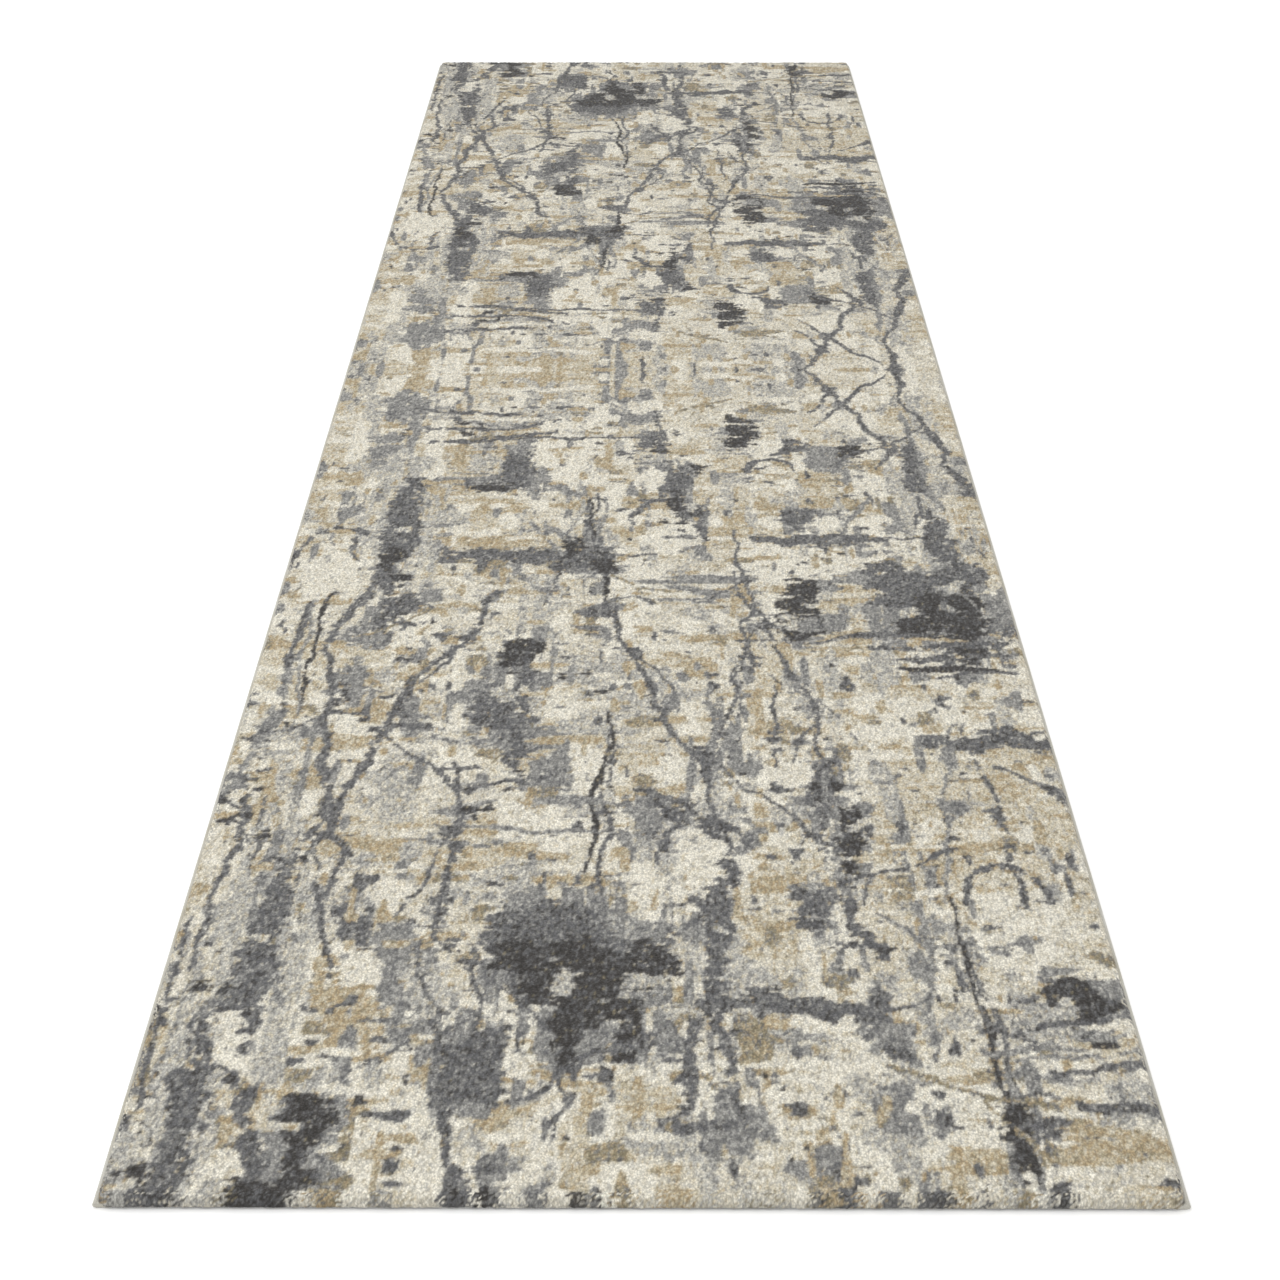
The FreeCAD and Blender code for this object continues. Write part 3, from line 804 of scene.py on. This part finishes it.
def border_walk(rows, columns):
    """The point numbers round the edge of a grid, clockwise from above."""
    numbers = np.arange(rows * columns).reshape(rows, columns)
    return np.concatenate([numbers[:-1, 0], numbers[-1, :-1], numbers[:0:-1, -1], numbers[0, :0:-1]])


def outward_from(walk, rows, columns):
    """Which way is out at each point of a border walk, as a length of one."""
    row, column = walk // columns, walk % columns
    out = np.column_stack([1.0 * (column == columns - 1) - (column == 0),
                           1.0 * (row == rows - 1) - (row == 0)])
    return out / np.linalg.norm(out, axis=1, keepdims=True)


def band(inner, outer):
    """The quads between two closed rings of point numbers, facing up where outer is clockwise outside."""
    return np.column_stack([inner, np.roll(inner, -1), np.roll(outer, -1), outer])


# ---------------------------------------------------------------- yarn wound over the edges

def arc(centre, radius, start, end, count):
    """Points on an arc in mm, its angles in degrees."""
    turns = np.radians(np.linspace(start, end, count))
    return [(centre[0] + radius * math.cos(turn), centre[1] + radius * math.sin(turn)) for turn in turns]


def wound(section, length, pitch, relief, slant, seed, steps=5):
    """Yarn wound over an edge that runs along Y, as rings of points: rounded turns side by side.

    section is a loop of (outward, up) points in mm; the grooves between the turns cut into it."""
    section = np.array(section)
    run = np.roll(section, -1, axis=0) - np.roll(section, 1, axis=0)
    normal = np.column_stack([run[:, 1], -run[:, 0]]) / np.linalg.norm(run, axis=1, keepdims=True)
    turns = round(length / pitch)
    phase = np.arange(turns * steps + 1) / steps
    rng = np.random.default_rng(seed)
    fullness = rng.uniform(0.7, 1.0, turns)[np.minimum(phase.astype(int), turns - 1)]
    bulge = relief * (fullness * (1 - (2 * (phase % 1) - 1) ** 2) - 1)
    lean = slant * (section[:, 1] - section[:, 1].mean()) / np.ptp(section[:, 1])
    fade = np.clip(np.minimum(phase, turns - phase) / 2, 0, 1)
    along = (phase / turns - 0.5)[:, None] * length + fade[:, None] * lean
    across = section + bulge[:, None, None] * normal
    return np.stack([across[..., 0], along, across[..., 1]], axis=-1)


def tube_faces(numbers):
    """The quads round a tube from its point numbers, one row to a ring."""
    shut = np.column_stack([numbers, numbers[:, :1]])
    return shut.ravel()[grid_faces(*shut.shape)]


def tube(name, rings, turn, slot, material, *nodes):
    """A closed tube through rings of points in mm, turned about the rug's middle by an angle."""
    count, sides = rings.shape[:2]
    numbers = np.arange(count * sides).reshape(count, sides)
    quads = tube_faces(numbers)
    sine, cosine = math.sin(turn), math.cos(turn)
    points = rings.reshape(-1, 3) * MM
    points[:, :2] = points[:, :2] @ np.array([[cosine, sine], [-sine, cosine]])
    piece = mesh_piece(name, points, quads, numbers[:1, ::-1], numbers[-1:])
    piece.data.materials.append(material)
    smooth(piece)
    place(piece, slot, *nodes)
    return piece


def make_sergings(material):
    """The long edges: heavy yarn wound round the cord, with a flat lip under the cloth."""
    low, high = (corner / MM for corner in ends_of("side_serging_right"))
    radius = (high[2] - low[2]) / 2
    centre = (high[0] - radius, low[2] + radius)
    lip = LATEX_HIGH[2] / MM
    section = [(low[0], 0), (low[0] + 4, 0), *arc(centre, radius, -90, 205, 15),
               (centre[0] - 3.6, lip), (low[0] + 3, lip), (low[0], lip)]
    for seed, (side, turn) in enumerate({"right": 0, "left": math.pi}.items()):
        rings = wound(section, high[1] - low[1], pitch=2.3, relief=0.32, slant=1.5, seed=41 + seed)
        name = f"side_serging_{side}"
        tube(f"{name}_yarn", rings, turn, "serging_yarn", material, name)


def make_overlocks(material):
    """The cut ends: a finer yarn wound over the ground cloth, with a short lip on top."""
    low, high = (corner / MM for corner in ends_of("end_overlock_far"))
    bend, wall, lip = 1.2, 1.4, 0.6
    ground, floor = GROUND_TOP / MM, LATEX_HIGH[2] / MM
    section = [(low[1], 0), (low[1] + 4, 0), *arc((high[1] - bend, bend), bend, -90, 0, 4),
               *arc((high[1] - bend, high[2] - bend), bend, 0, 90, 4),
               (high[1] - wall - lip, high[2]), (high[1] - wall - lip, ground),
               (high[1] - wall, ground - 0.4), (high[1] - wall, floor), (low[1] + 3, floor),
               (low[1], floor)]
    for seed, (end, turn) in enumerate({"far": math.pi / 2, "near": -math.pi / 2}.items()):
        rings = wound(section, high[0] - low[0], pitch=1.9, relief=0.22, slant=0.8, seed=51 + seed)
        name = f"end_overlock_{end}"
        tube(f"{name}_yarn", rings, turn, "overlock_yarn", material, name)


def make_corner_whips(material):
    """The corners: a few turns from the underside, over the end of the rolled edge, to the top."""
    for number, (end, side) in enumerate((end, side) for end in (-1, 1) for side in (-1, 1)):
        name = "corner_whip_{}_{}".format("near" if end < 0 else "far", "left" if side < 0 else "right")
        low, high = (corner / MM for corner in ends_of(name))
        thick, width, rise, bend = high[1] - low[1], high[0] - low[0], high[2], 1.0
        section = [*arc((thick - bend, bend), bend, -90, 0, 4),
                   *arc((thick - bend, rise - bend), bend, 0, 90, 4),
                   (0.0, rise), (0.0, rise / 2), (0.0, 0.0)]
        rings = wound(section, width, pitch=1.7, relief=0.26, slant=0.5, seed=61 + number, steps=6)
        rings[..., 2] = follow_roll(rings[..., 1] + width / 2, rings[..., 2], width, rise)
        out, along = rings[..., 0].copy(), rings[..., 1].copy()
        rings[..., 0] = (low[0] + high[0]) / 2 + side * along
        rings[..., 1] = end * (abs(low[1] + high[1]) / 2 - thick / 2 + out)
        if side * end > 0:
            rings = rings[::-1]
        tube(f"{name}_yarn", rings, 0, "serging_yarn", material, name)


def follow_roll(along, up, width, rise):
    """Heights squeezed to a corner's outline: level over the cloth, then round with the roll."""
    overlock_rise, nearly_out = 4.2, 0.97
    radius = rise / 2
    past = np.clip((along - (width - radius)) / radius, -1, nearly_out)
    reach = np.where(past > 0, radius * np.sqrt(1 - past ** 2), radius)
    top = np.where(along < width - 2 * radius, overlock_rise, radius + reach)
    return (radius - reach) * (past > 0) + up / rise * (top - (radius - reach) * (past > 0))


# ---------------------------------------------------------------- the underside

RIB_PITCH, RIB_DEPTH = 2.6, 0.22


def lines_with(edges, low, high, step):
    """Evenly spaced lines from low to high in mm, with a close pair at each of some edges."""
    half_gap = 0.15
    count = max(2, round((high - low) / step))
    pairs = [edge + gap for edge in edges for gap in (-half_gap, half_gap)]
    return np.unique(np.concatenate([np.linspace(low, high, count), pairs]))


def make_underside(material):
    """The coated back: latex over the ribs of the lower weft, with a pocket for the care label."""
    low, high = LATEX_LOW / MM, LATEX_HIGH / MM
    margin, gap_over_label, roughness, step_x = 0.3, 0.02, 0.05, 12.0
    pocket_low, pocket_high = LABEL_LOW / MM - margin, LABEL_HIGH / MM + margin
    lines_x = lines_with((pocket_low[0], pocket_high[0]), low[0], high[0], step_x)
    lines_y = lines_with((pocket_low[1], pocket_high[1]), low[1], high[1], RIB_PITCH / 4)
    x, y = np.meshgrid(lines_x, lines_y)
    rng = np.random.default_rng(71)
    z = RIB_DEPTH * (0.5 - 0.5 * np.cos(2 * math.pi * y / RIB_PITCH))
    z += roughness * rng.uniform(0, 1, z.shape)
    inside = ((x > pocket_low[0]) & (x < pocket_high[0]) & (y > pocket_low[1]) & (y < pocket_high[1]))
    z[inside] = pocket_high[2] + gap_over_label
    rows, columns = z.shape
    points = np.stack([x, y, z], axis=-1).reshape(-1, 3)
    walk = border_walk(rows, columns)
    rim = points[walk]
    rim[:, 2] = high[2]
    after = len(points) + np.arange(len(walk))
    piece = mesh_piece("back_coating", np.vstack([points, rim]) * MM, grid_faces(rows, columns)[:, ::-1],
                       band(after, walk))
    piece.data.materials.append(material)
    place(piece, "latex", "latex_size")


def make_label(tape, thread):
    """A blank woven label let into the coating, sewn down with a short running stitch."""
    low, high = LABEL_LOW / MM, LABEL_HIGH / MM
    middle, size = (low + high) / 2, high - low
    columns, rows = 121, 81
    clear, yarn_relief, edge_lift, edge_width = 0.04, 0.03, 0.10, 0.8
    x, y = np.meshgrid(np.linspace(low[0], high[0], columns), np.linspace(low[1], high[1], rows))
    weave = yarn_relief * np.sin(math.pi * (x - low[0])) * np.sin(math.pi * (y - low[1]))
    away = np.minimum(size[0] / 2 - np.abs(x - middle[0]), size[1] / 2 - np.abs(y - middle[1]))
    under = low[2] + clear + weave + edge_lift * np.clip(1 - away / edge_width, 0, 1)
    points = np.stack([x, y, under], axis=-1).reshape(-1, 3)
    walk = border_walk(rows, columns)
    rim = points[walk]
    rim[:, 2] = high[2]
    after = len(points) + np.arange(len(walk))
    label = mesh_piece("care_label_tape", np.vstack([points, rim]) * MM,
                       grid_faces(rows, columns)[:, ::-1], band(after, walk))
    label.data.materials.append(tape)
    smooth(label)
    place(label, "label_tape", "care_label")
    inset, thread_height = 3.0, 0.05
    make_stitches(middle, size[:2] / 2 - inset, low[2] + thread_height, thread)


def make_stitches(middle, reach, height, material):
    """Short stitches round a rectangle, each a bowed capsule of thread, as one piece."""
    pitch, stitch, radius, bow = 2.6, 2.0, 0.19, 0.10
    rings, sides = 7, 6
    lines = []
    for turn, (run, out) in enumerate([(reach[0], reach[1]), (reach[1], reach[0])] * 2):
        count = round(2 * run / pitch)
        for place_at in (np.arange(count) + 0.5) * 2 * run / count - run:
            lines.append((turn * math.pi / 2, place_at, out))
    along = np.linspace(-1, 1, rings)
    girth = radius * np.sqrt(np.clip(1 - along ** 4, 0.04, 1))
    around = np.linspace(0, 2 * math.pi, sides, endpoint=False)
    shape = np.stack([np.broadcast_to(along[:, None] * stitch / 2, (rings, sides)),
                      girth[:, None] * np.cos(around),
                      girth[:, None] * np.sin(around) + bow * (along ** 2)[:, None]], axis=-1)
    pattern = tube_faces(np.arange(rings * sides).reshape(rings, sides))
    points, faces, caps = [], [], []
    for number, (turn, place_at, out) in enumerate(lines):
        local = shape.reshape(-1, 3) + [place_at, -out, 0]
        sine, cosine = math.sin(turn), math.cos(turn)
        local[:, :2] = local[:, :2] @ np.array([[cosine, sine], [-sine, cosine]])
        first = number * rings * sides
        points.append(local + [middle[0], middle[1], height])
        faces.append(pattern + first)
        caps += [np.arange(sides)[::-1] + first, np.arange(sides) + first + (rings - 1) * sides]
    piece = mesh_piece("label_stitches", np.vstack(points) * MM, np.vstack(faces), np.array(caps))
    piece.data.materials.append(material)
    smooth(piece)
    place(piece, "sewing_thread", "label_stitching")


def dress_hidden_nodes(materials):
    """Woven and plied finishes for the CAD nodes that stay, inside the cloth."""
    for node, material in materials.items():
        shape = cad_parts[node]
        shape.data.materials.clear()
        shape.data.materials.append(material)


# ---------------------------------------------------------------- the rug

make_camera()
make_light()
make_floor()
serging = yarn_material("serging_yarn", (190, 188, 180), (0.0006, 0.0005, 0.0006), (176, 172, 158))
overlock = yarn_material("overlock_yarn", (168, 168, 164), (0.0005, 0.0004, 0.0005), (150, 148, 140))
cord = yarn_material("cord_yarn", (205, 198, 184), (0.0008, 0.002, 0.0008), (196, 186, 168))
weft = weave_material("weft_yarn", (176, 158, 124), 0.0024, across=True)
warp = weave_material("warp_yarn", (196, 186, 164), 0.0020, across=False)
label_tape = weave_material("label_tape", (236, 234, 228), 0.0008, across=True)
thread = yarn_material("sewing_thread", (150, 142, 126), (0.0003, 0.0003, 0.0003), (138, 128, 110), 0.0001)
make_pile(pile_material())
make_sergings(serging)
make_overlocks(overlock)
make_corner_whips(serging)
make_underside(latex_material())
make_label(label_tape, thread)
dress_hidden_nodes({
    "upper_weft": weft,
    "lower_weft": weft,
    "stuffer_warps": warp,
    "chain_warps": warp,
    "selvedge_cord_left": cord,
    "selvedge_cord_right": cord,
})

bpy.context.view_layer.update()
